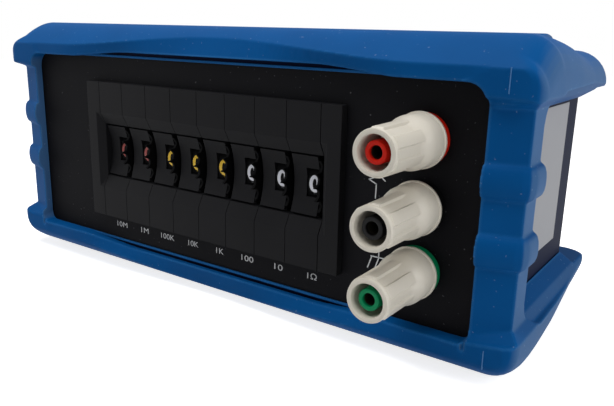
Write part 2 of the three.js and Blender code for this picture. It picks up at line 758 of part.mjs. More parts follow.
// Rear ridge, above and below: the boot rests on it and on the front crest.
function rearRidge() {
  const shape = new THREE.Shape();
  const [foot, start, end] = [ridgeFoot, ridgeStart, ridgeEnd].map((back) => bootRear - back);
  const bend = (start - foot) / 2;
  const base = caseHalfHeight - runningGap;
  shape.moveTo(foot, base);
  shape.lineTo(foot, bootPlateHalfHeight - seatGap);
  shape.bezierCurveTo(
    foot + bend, bootPlateHalfHeight, start - bend, bootCrestHalfHeight, start, bootCrestHalfHeight);
  shape.lineTo(end, bootCrestHalfHeight);
  shape.quadraticCurveTo(bootRear - ridgeCornerRadius, bootCrestHalfHeight, bootRear - ridgeCornerRadius / 2, base);
  shape.closePath();
  const face = roundedRectangle(
    -ridgeHalfWidth, -bootCrestHalfHeight, ridgeHalfWidth, bootCrestHalfHeight, ridgeCornerRadius);
  const top = alongX(shape, -ridgeHalfWidth, ridgeHalfWidth).intersect(alongY(face, 0, bootRear));
  return top.add(top.mirror([0, 0, 1]));
}

// Cutter that sets the pillars back from the bars: the front of each falls back to its side.
function pillarRelief() {
  const side = bootHalfWidth - pillarInset;
  const slope = (barHalfHeight - pillarHalfHeight) / pillarInset;
  const top = pillarHalfHeight + slope * (pillarInset + overrun);
  const fall = pillarFall / (side - openingHalfWidth);
  const section = (x) => [
    [x, (x - openingHalfWidth) * fall - pillarFront, pillarHalfHeight], [x, -bootFront, barHalfHeight],
    [x, -bootFront - overrun, top], [x, -bootFront - overrun, -top],
    [x, -bootFront, -barHalfHeight], [x, (x - openingHalfWidth) * fall - pillarFront, -pillarHalfHeight],
  ];
  const face = loft(
    [section(openingHalfWidth - overrun), section(side + pillarInset + overrun)],
    ([, y, z]) => new THREE.Vector2(y, z));
  const flank = alongY(outline([
    [side, -pillarHalfHeight], [side + pillarInset, -barHalfHeight], [side + pillarInset + overrun, -top],
    [side + pillarInset + overrun, top], [side + pillarInset, barHalfHeight], [side, pillarHalfHeight],
  ]), -bootFront - overrun, pillarRear + overrun);
  const corner = pillarFall - pillarFront;
  const edge = alongZ(outline([
    [side + seatGap, corner + pillarEdge], [side - pillarEdge, corner - pillarEdge],
    [side + seatGap, corner - pillarEdge],
  ]), -pillarHalfHeight, pillarHalfHeight);
  const right = face.add(flank).add(edge);
  return right.add(right.mirror([1, 0, 0]));
}

function sideWindow() {
  const inner = caseHalfWidth - overrun;
  const outer = bootHalfWidth + overrun;
  const edge = windowEdgeHalfHeight + (outer - bootSideHalfWidth);
  const half = (sign) => [
    [inner, sign * windowHalfHeight],
    [caseHalfWidth + runningGap, sign * windowHalfHeight],
    [caseHalfWidth + windowSillReach, sign * windowSillHalfHeight],
    [bootSideHalfWidth, sign * windowEdgeHalfHeight],
    [outer, sign * edge],
  ];
  const shape = outline([...half(1), ...half(-1).reverse()]);
  const side = roundedRectangle(
    pillarRear, -windowEdgeHalfHeight - overrun, bootRear + overrun, windowEdgeHalfHeight + overrun,
    windowCornerRadius + overrun);
  return alongY(shape, 0, bootRear + overrun).intersect(alongX(side, inner, outer));
}

function gripRibs() {
  const side = bootHalfWidth - pillarInset;
  const corner = pillarFall - pillarFront;
  const shape = outline([
    [side, pillarRear], [-side, pillarRear], [-side, corner + pillarEdge],
    [-side + pillarEdge, corner - pillarEdge * pillarFall / (side - openingHalfWidth)],
    [-openingHalfWidth, -pillarFront], [openingHalfWidth, -pillarFront],
    [side - pillarEdge, corner - pillarEdge * pillarFall / (side - openingHalfWidth)],
    [side, corner + pillarEdge],
  ]);
  const depth = 2 * (gripHalfHeight - gripRound);
  const options = {
    depth,
    bevelThickness: gripRound,
    bevelSize: gripProud,
    bevelSegments: arcSteps,
    curveSegments: arcSteps,
  };
  const rib = solid(new THREE.ExtrudeGeometry(shape, options));
  return gripHeights
    .map((z) => rib.translate([0, 0, z - depth / 2]))
    .reduce((all, one) => all.add(one));
}

// Scoop cutter: its upper edge is the wave on the bar, its foot the case's bare rim.
function fingerScoop() {
  const rings = [];
  const away = bootFront + 2 * overrun;
  const below = openingHalfHeight - overrun;
  for (let i = 0; i <= scoopSteps; i += 1) {
    const x = mix(-scoopHalfSpan, scoopHalfSpan, i / scoopSteps);
    const wave = ease(1 - Math.abs(x) / scoopHalfSpan);
    const foot = ease((scoopFootHalfSpan - Math.abs(x)) / (scoopFootHalfSpan - scoopFlatHalfSpan));
    const clear = -bootFront - runningGap;
    const topY = mix(clear, -scoopTopProud, wave);
    const topZ = mix(bootFaceHalfHeight, scoopTopHalfHeight, wave);
    const footY = mix(clear, runningGap, foot);
    const footZ = mix(openingHalfHeight - runningGap, caseHalfHeight + runningGap / 2, foot);
    const farY = mix(footY, topY, scoopStretchShare);
    const farZ = mix(footZ, topZ, scoopStretchShare);
    rings.push([
      [x, -away, below], [x, runningGap, below], [x, runningGap, footZ], [x, footY, footZ],
      [x, Math.max(farY, -away + overrun), farZ], [x, -away, farZ],
    ]);
  }
  const top = loft(rings, ([, y, z]) => new THREE.Vector2(y, z));
  return top.add(top.mirror([0, 0, 1]));
}

function rubberBoot() {
  const room = caseHalfHeight + runningGap;
  const cavity = alongY(roundedRectangle(
    -caseHalfWidth - runningGap, -room, caseHalfWidth + runningGap, room, caseEdgeRadius), 0, caseDepth + runningGap)
    .intersect(alongZ(roundedRearPlan(
      caseHalfWidth + runningGap, -overrun, caseDepth + runningGap, caseRearRadius), -room, room));
  const front = alongY(roundedRectangle(
    -openingHalfWidth, -openingHalfHeight, openingHalfWidth, openingHalfHeight, openingRadius),
    -bootFront - overrun, overrun);
  const rear = alongY(rectangle(
    -bootHalfWidth - overrun, -rearOpeningHalfHeight, bootHalfWidth + overrun, rearOpeningHalfHeight),
    caseDepth - caseRearRadius, bootRear + overrun);
  const side = sideWindow();
  return bootOutside()
    .add(rearRidge())
    .subtract(pillarRelief())
    .add(gripRibs())
    .subtract(front)
    .subtract(cavity)
    .subtract(rear)
    .subtract(side)
    .subtract(side.mirror([1, 0, 0]))
    .subtract(fingerScoop());
}

// A bare lead along points, as a six-sided tube.
function lead(points) {
  const path = new THREE.CatmullRomCurve3(points.map((p) => new THREE.Vector3(...p)), false, 'centripetal');
  const options = { steps: leadSteps, extrudePath: path, bevelEnabled: false, curveSegments: 1 };
  return solid(new THREE.ExtrudeGeometry(polygon(hexSides, leadRadius), options));
}

place(box, 'rubber_boot', rubberBoot(), bootRubber);
place(box, 'case_shell', caseShell(), casePlastic);
place(box, 'front_panel', frontPanel(), panelPlastic);
for (const [i, [x, z]] of screwPlaces.entries()) {
  place(box, `panel_screw_${i + 1}`, panelScrew(), steel, x, 0, z);
}

const bank = new THREE.Group();
bank.position.set(bankShift, 0, 0);
box.add(bank);
const housing = switchHousing();
const wheel = thumbwheel();
const board = decadeBoard();
for (let k = 0; k < decadeCount; k += 1) {
  const left = (k - decadeCount / 2) * modulePitch + moduleSeam / 2;
  place(bank, `switch_housing_${k + 1}`, housing, switchPlastic, left, 0, 0);
  place(bank, `thumbwheel_${k + 1}`, wheel, wheelPlastic, left, wheelY, 0);
  place(bank, `decade_board_${k + 1}`, board, boardLaminate, left, 0, 0);
}
const cheek = endCheek();
const cheekPlace = bankHalfWidth + moduleSeam / 2;
place(bank, 'end_cheek_right', cheek, switchPlastic, cheekPlace, 0, 0);
place(bank, 'end_cheek_left', cheek.mirror([1, 0, 0]), switchPlastic, -cheekPlace, 0, 0);
for (const [level, z] of [['upper', rodZ], ['lower', -rodZ]]) {
  place(bank, `tie_rod_${level}`, tieRod(), steel, 0, rodY, z);
  place(bank, `tie_rod_nut_${level}`, tieRodNut(), steel, -rodSpan - moduleSeam - rodNutLength, rodY, z);
}

for (const [i, { name, plastic }] of postColours.entries()) {
  const post = new THREE.Group();
  post.position.set(postX, 0, (1 - i) * postPitch);
  box.add(post);
  place(post, `${name}_post_body`, postBody(), plastic);
  place(post, `${name}_post_socket`, postSocket(), brass);
  place(post, `${name}_post_bush`, postBush(), bushPlastic);
  place(post, `${name}_post_nut`, postNut(), steel);
  place(post, `${name}_thrust_washer`, thrustWasher(), steel);
  place(post, `${name}_post_cap`, postCap(), capPlastic);
}

// Leads: each starts at a stud's end and is soldered to a board's rear.
const studEnd = panelThickness + studLength + seatGap;
const boardTouch = boardBack + seatGap;
const leadBack = boardBack + leadDrop;
const lastBoardX = bankShift + bankHalfWidth - modulePitch / 2;
const firstBoardX = bankShift - bankHalfWidth + modulePitch / 2;
const tagZ = boardHalfHeight - tagHeight;
place(box, 'red_lead', lead([
  [postX, studEnd, postPitch], [postX, studEnd + leadReach, postPitch],
  [postX - modulePitch, leadBack, tagZ], [firstBoardX + modulePitch, leadBack, tagZ],
  [firstBoardX, boardTouch + leadReach, tagZ], [firstBoardX, boardTouch, tagZ],
]), postColours[0].plastic);
place(box, 'black_lead', lead([
  [postX, studEnd, 0], [postX, studEnd + leadReach, 0],
  [postX - modulePitch, leadBack, -tagZ],
  [lastBoardX, boardTouch + leadReach, -tagZ], [lastBoardX, boardTouch, -tagZ],
]), postColours[1].plastic);

// The whole box stands on its boot, over the middle of its depth.
box.position.set(0, -(bootRear - capFront) / 2, bootCrestHalfHeight);

export default box;
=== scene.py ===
import math

import bmesh
import bpy
from mathutils import Matrix, Vector


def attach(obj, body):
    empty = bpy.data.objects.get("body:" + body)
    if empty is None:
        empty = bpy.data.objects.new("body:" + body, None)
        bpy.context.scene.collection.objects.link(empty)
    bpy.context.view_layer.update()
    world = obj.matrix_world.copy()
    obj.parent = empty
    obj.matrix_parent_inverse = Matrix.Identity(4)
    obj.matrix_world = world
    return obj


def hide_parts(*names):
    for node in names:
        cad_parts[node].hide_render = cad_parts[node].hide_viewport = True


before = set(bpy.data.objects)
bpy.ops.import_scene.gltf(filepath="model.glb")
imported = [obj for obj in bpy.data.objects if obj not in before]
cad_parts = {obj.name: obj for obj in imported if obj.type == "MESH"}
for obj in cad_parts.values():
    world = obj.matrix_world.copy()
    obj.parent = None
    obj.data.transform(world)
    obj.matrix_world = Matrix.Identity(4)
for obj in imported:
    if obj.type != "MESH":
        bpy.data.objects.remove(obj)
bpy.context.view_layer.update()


# Camera. A phone's short lens, from the right of the box and a little above it.
# Places are in millimetres from the middle of the panel's face, y to the rear, z up.
PANEL_BACK_SHIFT, PANEL_HEIGHT = 28.9, 47.6


def at(x, y, z):
    """A place on the box, in the frame's metres."""
    return Vector((x / 1000, (y - PANEL_BACK_SHIFT) / 1000, (z + PANEL_HEIGHT) / 1000))


def deselect():
    if bpy.context.object and bpy.context.object.mode != "OBJECT":
        bpy.ops.object.mode_set(mode="OBJECT")
    bpy.ops.object.select_all(action="DESELECT")


azimuth, downward, roll = math.radians(34.686), math.radians(14.742), math.radians(1.299)
ahead = Vector((-math.sin(azimuth) * math.cos(downward), math.cos(azimuth) * math.cos(downward),
                -math.sin(downward)))
level = Vector((math.cos(azimuth), math.sin(azimuth), 0))
upright = level.cross(ahead)
deselect()
bpy.ops.object.camera_add()
camera = bpy.context.object
camera.name = "camera"
camera.matrix_world = Matrix.Translation(at(153.06, -164.90, 47.55)) @ Matrix((
    level * math.cos(roll) + upright * math.sin(roll),
    upright * math.cos(roll) - level * math.sin(roll), -ahead)).transposed().to_4x4()
camera.data.sensor_width = 36
camera.data.lens = 38.563
camera.data.shift_x, camera.data.shift_y = 0.0001, -0.0028
camera.data.clip_start = 0.01
bpy.context.scene.camera = camera
bpy.context.scene.view_settings.view_transform = "Standard"


# Studio. A broad lamp hangs over the box and a little in front of it, a weak one stands far to
# the left, one at the right side, and a faint one low in front. Background and floor are white.
def hex_colour(text):
    """An sRGB hex colour as linear values."""
    parts = [int(text[i:i + 2], 16) / 255 for i in (0, 2, 4)]
    return (*[c / 12.92 if c <= 0.04045 else ((c + 0.055) / 1.055) ** 2.4 for c in parts], 1)


def add(tree, kind, inputs=(), **settings):
    """A new node with its settings, and its inputs set or linked."""
    node = tree.nodes.new(kind)
    for name, value in settings.items():
        setattr(node, name, value)
    for name, value in dict(inputs).items():
        if isinstance(value, bpy.types.NodeSocket):
            tree.links.new(value, node.inputs[name])
        else:
            node.inputs[name].default_value = value
    return node


def sees_white(tree):
    """1 for the rays that are shown the white background, 0 for the rays that light things."""
    ray = add(tree, "ShaderNodeLightPath").outputs
    mirrored = add(tree, "ShaderNodeMath", {
        0: ray["Is Glossy Ray"], 1: ray["Is Transmission Ray"]}, operation="MAXIMUM")
    return add(tree, "ShaderNodeMath", {
        0: ray["Is Camera Ray"], 1: mirrored.outputs[0]}, operation="MAXIMUM")


for name, place, aim, size, power in [
        ("lamp_over", (-60, -100, 520), (0, 10, 0), 0.4, 2.9),
        ("lamp_left", (-560, -200, 160), (0, 0, 0), 0.3, 0.4),
        ("lamp_side", (480, -20, 190), (90, 20, 0), 0.35, 1.25),
        ("lamp_low", (-60, -420, 10), (0, 0, 0), 0.1, 0.06)]:
    deselect()
    bpy.ops.object.light_add(type="AREA", location=at(*place))
    lamp = bpy.context.object
    lamp.name = name
    lamp.data.size = size
    lamp.data.energy = power
    lamp.rotation_euler = (at(*aim) - at(*place)).to_track_quat("-Z", "Y").to_euler()

world = bpy.data.worlds.new("studio")
bpy.context.scene.world = world
world.use_nodes = True
tree = world.node_tree
tree.nodes.clear()
seen = sees_white(tree)
fill = add(tree, "ShaderNodeBackground", {"Color": hex_colour("e4eaf2"), "Strength": 0.11})
white = add(tree, "ShaderNodeBackground", {"Color": (1, 1, 1, 1), "Strength": 1.0})
both = add(tree, "ShaderNodeMixShader", {
    0: seen.outputs[0], 1: fill.outputs[0], 2: white.outputs[0]})
add(tree, "ShaderNodeOutputWorld", {"Surface": both.outputs[0]})

deselect()
bpy.ops.mesh.primitive_plane_add(size=3, location=(0, 0, -0.0001))
floor = bpy.context.object
floor.name = "floor"
floor_paper = bpy.data.materials.new("white background paper")
floor_paper.use_nodes = True
tree = floor_paper.node_tree
tree.nodes.clear()
seen = sees_white(tree)
matt = add(tree, "ShaderNodeBsdfDiffuse", {"Color": hex_colour("e2e2e2")})
# The paper shows the box's shadow near it and is plain white from a third of a metre on.
place = add(tree, "ShaderNodeTexCoord")
away = add(tree, "ShaderNodeVectorMath", {0: place.outputs["Object"]}, operation="LENGTH")
lift = add(tree, "ShaderNodeMapRange", {
    "Value": away.outputs["Value"], "From Min": 0.14, "From Max": 0.34,
    "To Min": 0.8, "To Max": 1.0})
glow = add(tree, "ShaderNodeEmission", {"Color": (1, 1, 1, 1), "Strength": lift.outputs["Result"]})
lifted = add(tree, "ShaderNodeAddShader", {0: matt.outputs[0], 1: glow.outputs[0]})
shown = add(tree, "ShaderNodeMixShader", {
    0: seen.outputs[0], 1: matt.outputs[0], 2: lifted.outputs[0]})
add(tree, "ShaderNodeOutputMaterial", {"Surface": shown.outputs[0]})
floor.data.materials.append(floor_paper)


# Boot. One thick moulding of blue synthetic rubber, stretched over the case from the front.
# Its front frame is heavy, with a wave-shaped finger scoop above and below, and two grip
# ribs round each side pillar; thin plates run back to a ridge at the rear that it stands on.
def loft(name, rings):
    """A closed skin over rings of equally many points: one ring is drawn and then extruded."""
    deselect()
    bpy.ops.mesh.primitive_circle_add(vertices=len(rings[0]), fill_type="NGON")
    piece = bpy.context.object
    piece.name = name
    for vertex, point in zip(piece.data.vertices, rings[0]):
        vertex.co = at(*point)
    bpy.ops.object.mode_set(mode="EDIT")
    bpy.ops.mesh.select_all(action="SELECT")
    last = [at(*point) for point in rings[0]]
    for ring in rings[1:]:
        bpy.ops.mesh.extrude_region_move()
        places = [at(*point) for point in ring]
        mesh = bmesh.from_edit_mesh(piece.data)
        for vertex in [v for v in mesh.verts if v.select]:
            nearest = min(range(len(last)), key=lambda i: (last[i] - vertex.co).length_squared)
            vertex.co = places[nearest]
        bmesh.update_edit_mesh(piece.data)
        last = places
    bpy.ops.mesh.select_all(action="SELECT")
    bpy.ops.mesh.normals_make_consistent(inside=False)
    bpy.ops.object.mode_set(mode="OBJECT")
    return piece


def pick(piece):
    """Makes one piece the selected and active one."""
    deselect()
    piece.select_set(True)
    bpy.context.view_layer.objects.active = piece


def apply(piece, kind, **settings):
    pick(piece)
    modifier = piece.modifiers.new("step", kind)
    for name, value in settings.items():
        setattr(modifier, name, value)
    bpy.ops.object.modifier_apply(modifier="step")


def cut(piece, tool, operation="DIFFERENCE"):
    """Takes the tool out of the piece, or joins it on."""
    apply(piece, "BOOLEAN", object=tool, operation=operation, solver="EXACT")
    bpy.data.objects.remove(tool)


def dress(piece, material):
    piece.data.materials.clear()
    piece.data.materials.append(material)


def mix(first, last, share):
    return first + (last - first) * share


def ease(share):
    share = min(max(share, 0), 1)
    return share * share * (3 - 2 * share)


def along(y, stops):
    """The value at y on a line through stops of (y, value)."""
    for (y0, low), (y1, high) in zip(stops, stops[1:]):
        if y <= y1:
            return mix(low, high, max(0, (y - y0) / (y1 - y0)))
    return stops[-1][1]


def round_corners(half_width, half_height, top_radius, low_radius=None, steps=8):
    """Points (x, z) of an upright rectangle with round corners."""
    low_radius = low_radius or top_radius
    points = []
    for corner, (x_side, z_side) in enumerate([(1, 1), (-1, 1), (-1, -1), (1, -1)]):
        radius = top_radius if z_side > 0 else low_radius
        for i in range(steps + 1):
            angle = math.pi / 2 * (corner + i / steps)
            points.append((x_side * (half_width - radius) + radius * math.cos(angle),
                           z_side * (half_height - radius) + radius * math.sin(angle)))
    return points


def bar(name, x0, x1, y0, y1, z0, z1):
    """A plain square bar, from its faces' places."""
    deselect()
    bpy.ops.mesh.primitive_cube_add(size=1)
    piece = bpy.context.object
    piece.name = name
    for vertex in piece.data.vertices:
        x, y, z = vertex.co
        vertex.co = at(mix(x0, x1, x + 0.5), mix(y0, y1, y + 0.5), mix(z0, z1, z + 0.5))
    return piece


def noise(tree, place, scale, detail):
    """Noise over the piece's own metres: a scale of 1000 gives grains a millimetre wide."""
    return add(tree, "ShaderNodeTexNoise", {
        "Vector": place.outputs["Object"], "Scale": scale, "Detail": detail})


def blend(tree, share, first, last):
    """Mixes two colours, each a node's output or a hex text."""
    first, last = [hex_colour(c) if isinstance(c, str) else c for c in (first, last)]
    return add(tree, "ShaderNodeMixRGB", {"Fac": share, "Color1": first, "Color2": last})


case_half_width, case_half_height, case_depth = 100.5, 38.7, 82
fit = 0.3
boot_front, boot_rear = 5.6, 86.5
front_half, crest_height, bar_height = 109.9, 47.6, 39.4
plate_corner, side_round = 11, 3.5
# The front rolls back and up to the crest, straighter above and fuller below.
crest_end, roll_steps, roll_power, low_roll_power = 9, 18, 1.6, 1.5
half_ring = 18  # of a ring's 36 points, the first half lies above
rings = []
for i in [0] + list(range(3, roll_steps + 1)):
    back = 1 - math.cos(math.pi / 2 * i / roll_steps)
    rise = 1 - (1 - back) ** roll_power
    low_rise = (1 - (1 - back) ** low_roll_power) ** (1 / low_roll_power)
    y = mix(-boot_front, crest_end, back)
    turn = min((y + boot_front) / side_round, 1)
    half = front_half - side_round * (1 - math.sqrt(1 - (1 - turn) ** 2))
    above = round_corners(half, mix(bar_height, crest_height, rise),
                          mix(3.4, 10, min(1, rise * 2.5)))
    below = round_corners(half, mix(bar_height, crest_height, low_rise),
                          mix(2.5, plate_corner, math.sqrt(low_rise)))
    rings.append([(x, y, z) for x, z in above[:half_ring] + below[half_ring:]])
# The plates fall and draw in towards the rear: (y, half width) and (y, half height).
plate_start, plate_end, plate_steps = 12, 78.5, 23
rear_half, plate_height = 106.8, 42.2
widths = [(plate_start, front_half), (20, 109.7), (34, 109.4), (50, 108.6), (66, 107.6),
          (plate_end, rear_half)]
heights = [(plate_start, crest_height), (18, 47.5), (25, 46.9), (37, 45.6), (48, 43.9),
           (58, 42.7), (plate_end, plate_height)]
for i in range(plate_steps + 1):
    y = mix(plate_start, plate_end, i / plate_steps)
    shape = round_corners(along(y, widths), along(y, heights), plate_corner)
    rings.append([(x, y, z) for x, z in shape])
rear_bend, bend_steps = 8, 8
for i in range(1, bend_steps + 1):
    angle = math.pi / 2 * i / bend_steps
    inward = rear_bend * (1 - math.cos(angle))
    shape = round_corners(rear_half - inward, plate_height - inward, plate_corner - inward / 2)
    rings.append([(x, boot_rear - rear_bend + rear_bend * math.sin(angle), z) for x, z in shape])
boot = loft("boot", rings)

# The ridge above and below at the rear, level with the front crest.
foot, start, end = boot_rear - 30.5, boot_rear - 16.5, boot_rear - 11.5
ridge_root, ridge_foot, ridge_half = 38, 42.1, 88
side = [(foot, ridge_root), (foot, ridge_foot)]
side += [(mix(foot, start, i / 8), mix(ridge_foot, crest_height, ease(i / 8)))
         for i in range(1, 9)]
for i in range(6):
    angle = math.pi / 2 * i / 5
    side.append((end + 8.9 * math.sin(angle), crest_height - 9.6 * (1 - math.cos(angle))))
for sign in (1, -1):
    ridge = loft("ridge", [[(x, y, sign * z) for y, z in side]
                           for x in (-ridge_half, ridge_half)])
    apply(ridge, "BEVEL", width=0.004, segments=4, limit_method="ANGLE",
          angle_limit=math.radians(80))
    cut(boot, ridge, "UNION")

# The pillars lie behind the bars' front, and fall back to the sides.
opening_half, opening_height, pillar_side = 96.0, 35.4, 107.0
pillar_top, pillar_low, pillar_rear = 29.6, -29.8, 8.3
before, beside, behind = -12, 116, 92  # the cutters end outside the boot


def pillar_cut(x, sign):
    """A section, at x, of what is cut away in front of a pillar."""
    y = (x - opening_half) * 3 / (pillar_side - opening_half) - 3.3
    low = mix(-35.2, -32.6, (x - 90) / 20)
    return [(sign * x, y, z) for y, z in [
        (y, pillar_top), (-boot_front, 32.2), (before, 38.6),
        (before, low - 7), (-boot_front, low), (y, pillar_low)]]


for sign in (1, -1):
    cut(boot, loft("front_cut", [pillar_cut(90, sign), pillar_cut(beside, sign)]))
    outer = [(pillar_side, pillar_top), (pillar_side + 2.9, 32.2), (pillar_side + 9, 38.4),
             (pillar_side + 9, -38.6), (pillar_side + 2.9, -32.4), (pillar_side, pillar_low)]
    cut(boot, loft("side_cut", [[(sign * x, y, z) for x, z in outer] for y in (before, 14.3)]))

# Grip ribs are two low round swellings about each pillar.
rib_half, rib_reach, rib_steps, rib_root = 4.5, 2.1, 16, 94
for height in (10.5, -8.3):
    for sign in (1, -1):
        rings = []
        for i in range(rib_steps + 1):
            angle = math.pi * i / rib_steps
            reach = rib_reach * math.sin(angle) ** 0.7 if 0 < i < rib_steps else 0
            z = height - rib_half * math.cos(angle)
            rings.append([
                (sign * rib_root, pillar_rear, z), (sign * rib_root, -3.6 - reach, z),
                (sign * (pillar_side - 1.4 + reach * 0.2), -0.6 - reach, z),
                (sign * (pillar_side - 0.4 + reach * 0.7), -0.2 - reach * 0.75, z),
                (sign * (pillar_side + reach * 0.95), 0.8 - reach * 0.2, z),
                (sign * (pillar_side + reach), 1.6, z),
                (sign * (pillar_side + reach), pillar_rear, z)])
        cut(boot, loft("rib", rings), "UNION")

# What is open: the front, the room for the case, the rear, the side windows, the scoops.
cut(boot, loft("opening", [
    [(x, y, z) for x, z in round_corners(opening_half, opening_height, 5.5, 3)]
    for y in (before, 6)]))
cut(boot, loft("room", [[(x, y, z) for x, z in round_corners(
    case_half_width + fit - inward, case_half_height + fit, 3)] for y, inward in [
        (0, 0), (69, 0), (74, 1), (78, 3.8), (81, 8.2), (case_depth + fit, 13)]]))
cut(boot, bar("rear_opening", -beside, beside, 69, behind, -30.5, 30.5))
reveal = [(94.5, 27.1), (100.8, 27.1), (105.5, 30.1), (107.6, 32.8), (beside, 41.2)]
reveal += [(x, -z) for x, z in reversed(reveal)]
arch_radius, arch_start = 10, 23
arch = [(pillar_rear + arch_radius * (1 - math.cos(math.pi / 2 * i / 8)),
         arch_start + arch_radius * math.sin(math.pi / 2 * i / 8)) for i in range(9)]
arch = arch + [(96, 33), (96, -33)] + [(y, -z) for y, z in reversed(arch)]
for sign in (1, -1):
    window = loft("window", [[(sign * x, y, z) for x, z in reveal]
                             for y in (pillar_rear, behind)])
    cut(window, loft("arch", [[(sign * x, y, z) for y, z in arch] for x in (90, 120)]),
        "INTERSECT")
    cut(boot, window)
scoop_half, scoop_steps, scoop_back, scoop_before = 96, 96, 0.4, -17.6
for sign in (1, -1):
    rings = []
    for i in range(scoop_steps + 1):
        x = mix(-scoop_half, scoop_half, i / scoop_steps)
        out = mix(-5.35, -6.0, ease((abs(x) - 90) / 6))
        crest_z = mix(39.6, 43.9, ease(1.02 - abs(x) / 76))
        rise = (crest_z - bar_height) / (crest_height - bar_height)
        if sign > 0:
            back = 1 - (1 - rise) ** (1 / roll_power)
        else:
            back = 1 - (1 - rise ** low_roll_power) ** (1 / low_roll_power)
        crest_y = max(out, mix(-boot_front, crest_end, back))
        foot = ease((80 - abs(x)) / 40)
        low_z = mix(33, 36.6, ease((abs(x) - 84) / 8))
        foot_y, foot_z = mix(out, -2.4, foot), max(mix(34.9, 37.5, foot), low_z + 0.2)
        far_y, far_z = mix(foot_y, crest_y, 1.5), mix(foot_z, crest_z, 1.5)
        rings.append([(x, y, sign * z) for y, z in [
            (scoop_before, low_z), (scoop_back, low_z), (scoop_back, foot_z),
            (foot_y, foot_z), (far_y, far_z), (scoop_before, far_z)]])
    cut(boot, loft("scoop", rings))
# A small nick is cut into the lower bar's edge near each end.
nick_x, nick_half = 95.2, 0.6
for sign in (1, -1):
    cut(boot, bar("nick", sign * nick_x - nick_half, sign * nick_x + nick_half,
                  -9, -4.6, -37.2, -34))

# The remesh leaves one skin whose edges are as soft as a rubber mould leaves them.
apply(boot, "REMESH", mode="VOXEL", voxel_size=0.0004)
apply(boot, "SMOOTH", factor=0.5, iterations=2)
most_triangles = 190000
apply(boot, "DECIMATE", ratio=min(1, most_triangles / (2 * len(boot.data.polygons))))
pick(boot)
bpy.ops.object.shade_smooth()

# Moulded synthetic rubber, a satin blue. Its edges get a pale painted highlight, its side faces a
# pale painted sheen, and there is dust on it.
rubber = bpy.data.materials.new("blue moulded rubber")
rubber.use_nodes = True
tree = rubber.node_tree
shader = tree.nodes["Principled BSDF"]
shader.inputs["Roughness"].default_value = 0.6
shader.inputs["Specular IOR Level"].default_value = 0.05
place = add(tree, "ShaderNodeTexCoord")
cloud = noise(tree, place, 45, 5)
body_blue = blend(tree, cloud.outputs["Fac"], "014279", "024e8b")
# Where the rounded normal leaves the plain one there is an edge, and edges get a pale painted
# highlight.
plain = add(tree, "ShaderNodeNewGeometry")
rounded = add(tree, "ShaderNodeBevel", {"Radius": 0.0012}, samples=6)
bend = add(tree, "ShaderNodeVectorMath", {
    0: plain.outputs["Normal"], 1: rounded.outputs["Normal"]}, operation="DOT_PRODUCT")
edge_highlight = add(tree, "ShaderNodeMapRange", {
    "Value": bend.outputs["Value"], "From Min": 0.995, "From Max": 0.95,
    "To Min": 0.0, "To Max": 0.6})
edge_highlight_blue = blend(tree, edge_highlight.outputs["Result"], body_blue.outputs["Color"], "2f6ea6")
# The side faces get a thin pale painted sheen.
facing = add(tree, "ShaderNodeSeparateXYZ", {"Vector": place.outputs["Normal"]})
sideways = add(tree, "ShaderNodeMath", {0: facing.outputs["X"]}, operation="ABSOLUTE")
side_sheen = add(tree, "ShaderNodeMapRange", {
    "Value": sideways.outputs[0], "From Min": 0.55, "From Max": 0.95, "To Max": 0.11})
side_sheen_blue = blend(tree, side_sheen.outputs["Result"], edge_highlight_blue.outputs["Color"], "a6b8ae")
speck = noise(tree, place, 900, 1)
dust = add(tree, "ShaderNodeMapRange", {
    "Value": speck.outputs["Fac"], "From Min": 0.735, "From Max": 0.8, "To Max": 0.35})
dusty = blend(tree, dust.outputs["Result"], side_sheen_blue.outputs["Color"], "8fa3b8")
tree.links.new(dusty.outputs["Color"], shader.inputs["Base Color"])
pores = noise(tree, place, 1500, 2)
bump = add(tree, "ShaderNodeBump", {
    "Strength": 0.1, "Distance": 0.00006, "Height": pores.outputs["Fac"]})
tree.links.new(bump.outputs["Normal"], shader.inputs["Normal"])
dress(boot, rubber)
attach(boot, "root")
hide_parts("rubber_boot")

# A thin seam where the mould's parts met crosses the bars' ends at the right, as a pale line.
seam_rubber = bpy.data.materials.new("pale rubber flash")
seam_rubber.use_nodes = True
tree = seam_rubber.node_tree
shader = tree.nodes["Principled BSDF"]
shader.inputs["Roughness"].default_value = 0.5
place = add(tree, "ShaderNodeTexCoord")
cloud = add(tree, "ShaderNodeTexNoise", {"Vector": place.outputs["Object"], "Scale": 600})
seam_blue = blend(tree, cloud.outputs["Fac"], "0c4a83", "3c78ab")
tree.links.new(seam_blue.outputs["Color"], shader.inputs["Base Color"])
for name, low, high in [("seam_upper", 33.2, 39.6), ("seam_lower", -40.6, -35)]:
    seam = bar(name, 101.2, 101.55, -5.7, -5.2, low, high)
    apply(seam, "BEVEL", width=0.00015, segments=2)
    dress(seam, seam_rubber)
    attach(seam, "root")


# Case. A deep tub moulded in navy ABS, with round rear corners, that the boot is pulled
# over. It shows in the side windows and the rear, and as a thin rim along the scoops.
def smooth(piece, degrees):
    pick(piece)
    bpy.ops.object.shade_smooth_by_angle(angle=math.radians(degrees))


def ease_edges(piece, width, degrees=25):
    """Breaks a piece's edges by width millimetres and keeps its flats flat."""
    apply(piece, "BEVEL", width=width / 1000, segments=2, limit_method="ANGLE",
          angle_limit=math.radians(degrees), use_clamp_overlap=True)
    smooth(piece, degrees + 10)
    apply(piece, "WEIGHTED_NORMAL", keep_sharp=True)


def soften(name, node, width):
    """A copy of a frame piece, merged, with its edges broken."""
    piece = bpy.data.objects.new(name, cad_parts[node].data.copy())
    bpy.context.scene.collection.objects.link(piece)
    apply(piece, "WELD", merge_threshold=1e-6)
    ease_edges(piece, width)
    return piece


